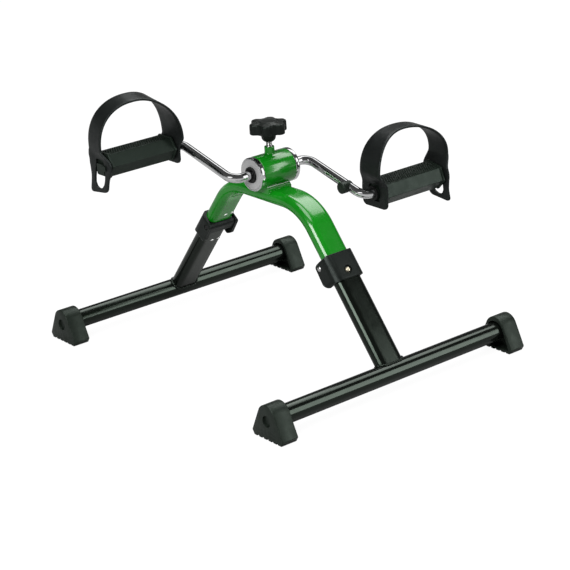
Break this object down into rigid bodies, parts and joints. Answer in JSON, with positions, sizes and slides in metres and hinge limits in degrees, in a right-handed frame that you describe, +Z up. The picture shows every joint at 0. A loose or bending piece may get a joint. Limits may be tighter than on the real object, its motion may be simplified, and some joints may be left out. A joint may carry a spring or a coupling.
{
  "type": "pedal exerciser",
  "caption": "Folding floor pedal exerciser: an arched tube frame on hinged T-shaped legs carries a bent crank with strapped pedals and a screw knob that sets the drag.",
  "frame": {"origin": "on the floor, midway between the floor tubes and midway along them", "axes": "+Z up, X along the crank axle and the floor tubes, +Y from the user's seat towards the front leg"},
  "size_m": [0.4, 0.499, 0.3501],
  "materials": {
    "green_paint": "gloss green enamel",
    "black_paint": "gloss black enamel",
    "chrome": "bright plated",
    "zinc": "zinc plated, slightly yellow",
    "steel": "plain steel",
    "black_plastic": "moulded black plastic",
    "black_rubber": "moulded black rubber",
    "nylon": "natural nylon"
  },
  "bodies": {
    "frame": {"arch_tube": "green_paint", "hub_shell": "green_paint", "end_cap_left": "chrome", "end_cap_right": "chrome", "axle_bush_left": "black_plastic", "axle_bush_right": "black_plastic", "hinge_bracket_front": "black_plastic", "hinge_bracket_rear": "black_plastic", "hinge_pin_front": "steel", "hinge_pin_rear": "steel"},
    "front_leg": {"upright_front": "black_paint", "floor_tube_front": "black_paint", "hinge_tongue_front": "black_plastic", "foot_front_left": "black_rubber", "foot_front_right": "black_rubber", "snap_spring_front": "steel"},
    "rear_leg": {"upright_rear": "black_paint", "floor_tube_rear": "black_paint", "hinge_tongue_rear": "black_plastic", "foot_rear_left": "black_rubber", "foot_rear_right": "black_rubber", "snap_spring_rear": "steel"},
    "front_snap": {"snap_button_front": "zinc"},
    "rear_snap": {"snap_button_rear": "zinc"},
    "crank": {"crank_rod": "chrome", "crank_sleeve": "steel", "crank_buffer": "black_rubber", "spindle_washer_left": "black_plastic", "spindle_washer_right": "black_plastic", "spindle_cap_left": "steel", "spindle_cap_right": "steel"},
    "left_pedal": {"pedal_body_left": "black_plastic", "pedal_end_plate_left": "black_plastic", "pedal_strap_left": "black_rubber"},
    "right_pedal": {"pedal_body_right": "black_plastic", "pedal_end_plate_right": "black_plastic", "pedal_strap_right": "black_rubber"},
    "brake": {"brake_shoe": "nylon"},
    "knob": {"tension_stud": "steel", "tension_knob": "black_plastic"}
  },
  "joints": [
    {"name": "front_leg_fold", "type": "hinge", "parent": "frame", "child": "front_leg", "pos_m": [0, 0.11754, 0.1405], "axis": [-1, 0, 0], "range_deg": [0, 74]},
    {"name": "rear_leg_fold", "type": "hinge", "parent": "frame", "child": "rear_leg", "pos_m": [0, -0.11754, 0.1405], "axis": [1, 0, 0], "range_deg": [0, 74]},
    {"name": "front_snap_press", "type": "slide", "parent": "front_leg", "child": "front_snap", "axis": [0, 0.7815, 0.6239], "range_m": [-0.005, 0], "stiffness_N_per_m": 500, "springref_m": 0.003, "deforming": ["snap_spring_front"]},
    {"name": "rear_snap_press", "type": "slide", "parent": "rear_leg", "child": "rear_snap", "axis": [0, -0.7815, 0.6239], "range_m": [-0.005, 0], "stiffness_N_per_m": 500, "springref_m": 0.003, "deforming": ["snap_spring_rear"]},
    {"name": "crank_turn", "type": "hinge", "parent": "frame", "child": "crank", "pos_m": [0, 0, 0.2405], "axis": [1, 0, 0], "continuous": true},
    {"name": "left_pedal_turn", "type": "hinge", "parent": "crank", "child": "left_pedal", "pos_m": [-0.1322, 0.10848, 0.26835], "axis": [1, 0, 0], "continuous": true},
    {"name": "right_pedal_turn", "type": "hinge", "parent": "crank", "child": "right_pedal", "pos_m": [0.1322, -0.10848, 0.21265], "axis": [1, 0, 0], "continuous": true},
    {"name": "brake_shoe_slide", "type": "slide", "parent": "frame", "child": "brake", "axis": [0, 0, 1], "range_m": [-0.0009, 0.0019]},
    {"name": "tension_knob_turn", "type": "hinge", "parent": "brake", "child": "knob", "pos_m": [0, 0, 0.2715], "axis": [0, 0, 1], "range_deg": [-250, 540]}
  ],
  "couplings": [
    {"joint": "brake_shoe_slide", "follows": "tension_knob_turn", "m_per_rad": 0.00019894}
  ]
}
